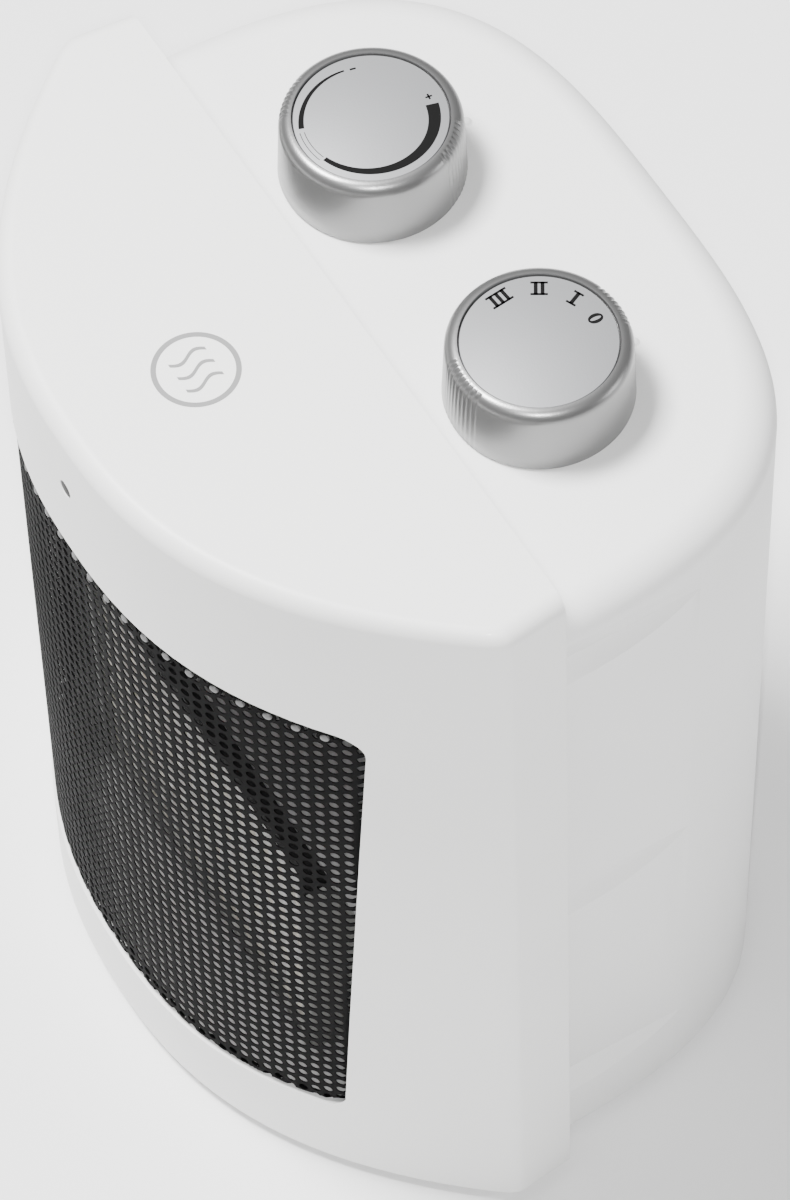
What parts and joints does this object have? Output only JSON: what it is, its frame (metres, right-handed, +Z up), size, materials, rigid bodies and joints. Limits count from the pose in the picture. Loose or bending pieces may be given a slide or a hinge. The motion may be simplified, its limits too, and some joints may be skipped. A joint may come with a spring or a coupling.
{
  "type": "ceramic space heater",
  "caption": "Table-top ceramic fan heater: D-shaped white cover with a bowed black perforated grille, rounded rear housing, and silver thermostat and selector knobs on top.",
  "frame": {"origin": "on the surface under the middle of the heater, at the centre of its footprint", "axes": "+Z up, the grille faces -Y, +X to the right of someone facing the grille"},
  "size_m": [0.188, 0.1442, 0.2356],
  "materials": {
    "cover_white": "moulded white ABS, satin gloss",
    "housing_white": "moulded white plastic, fine satin grain",
    "base_grey": "moulded pale grey plastic",
    "grille_black": "perforated steel sheet, anthracite powder coat",
    "rubber": "soft dark rubber",
    "lens_red": "dark red translucent plastic",
    "lamp_orange": "small neon bulb",
    "frame_black": "black heat-proof moulding",
    "ptc_ceramic": "sintered heating ceramic",
    "fin_aluminium": "corrugated aluminium strip",
    "terminal_brass": "stamped brass",
    "steel": "zinc plated steel",
    "duct_grey": "grey glass-filled moulding",
    "motor_steel": "pressed steel can",
    "bearing_bronze": "sintered bronze",
    "fan_nylon": "natural nylon",
    "control_tan": "phenolic moulding",
    "control_black": "black phenolic moulding",
    "block_ivory": "ivory terminal moulding",
    "spring_steel": "spring wire",
    "wire_red": "silicone insulated lead",
    "knob_silver": "satin silver lacquer",
    "disc_silver": "matt silver foil with dark print"
  },
  "bodies": {
    "housing": {"front_cover": "cover_white", "front_grille": "grille_black", "rear_housing": "housing_white", "base_plate": "base_grey", "rubber_feet": "rubber", "cable_gland": "housing_white", "indicator_lens": "lens_red", "indicator_lamp": "lamp_orange", "heater_frame": "frame_black", "ceramic_bars": "ptc_ceramic", "heater_fins": "fin_aluminium", "heater_terminals": "terminal_brass", "thermal_cutout": "steel", "air_duct": "duct_grey", "fan_motor": "motor_steel", "motor_bearing": "bearing_bronze", "motor_screws": "steel", "thermostat_body": "control_tan", "selector_body": "control_black", "control_screws": "steel", "terminal_block": "block_ivory", "tip_switch": "control_black", "plunger_spring": "spring_steel", "base_screws": "steel", "lead_wires": "wire_red"},
    "fan": {"fan_impeller": "fan_nylon", "motor_shaft": "steel"},
    "thermostat_control": {"thermostat_shaft": "steel", "thermostat_knob": "knob_silver", "thermostat_disc": "disc_silver"},
    "selector_control": {"selector_shaft": "steel", "selector_knob": "knob_silver", "selector_disc": "disc_silver"},
    "plunger": {"tip_plunger": "fan_nylon"}
  },
  "joints": [
    {"name": "thermostat_turn", "type": "hinge", "parent": "housing", "child": "thermostat_control", "pos_m": [-0.0333, 0.02095, 0.218], "axis": [0, 0, 1], "range_deg": [0, 270]},
    {"name": "selector_turn", "type": "hinge", "parent": "housing", "child": "selector_control", "pos_m": [0.0333, 0.02095, 0.218], "axis": [0, 0, 1], "range_deg": [-100.5, 0]},
    {"name": "fan_spin", "type": "hinge", "parent": "housing", "child": "fan", "pos_m": [0, 0, 0.064], "axis": [0, 1, 0], "continuous": true},
    {"name": "tip_plunger_slide", "type": "slide", "parent": "housing", "child": "plunger", "axis": [0, 0, -1], "range_m": [0, 0.005], "stiffness_N_per_m": 60, "springref_m": 0.008, "deforming": ["plunger_spring"]}
  ]
}
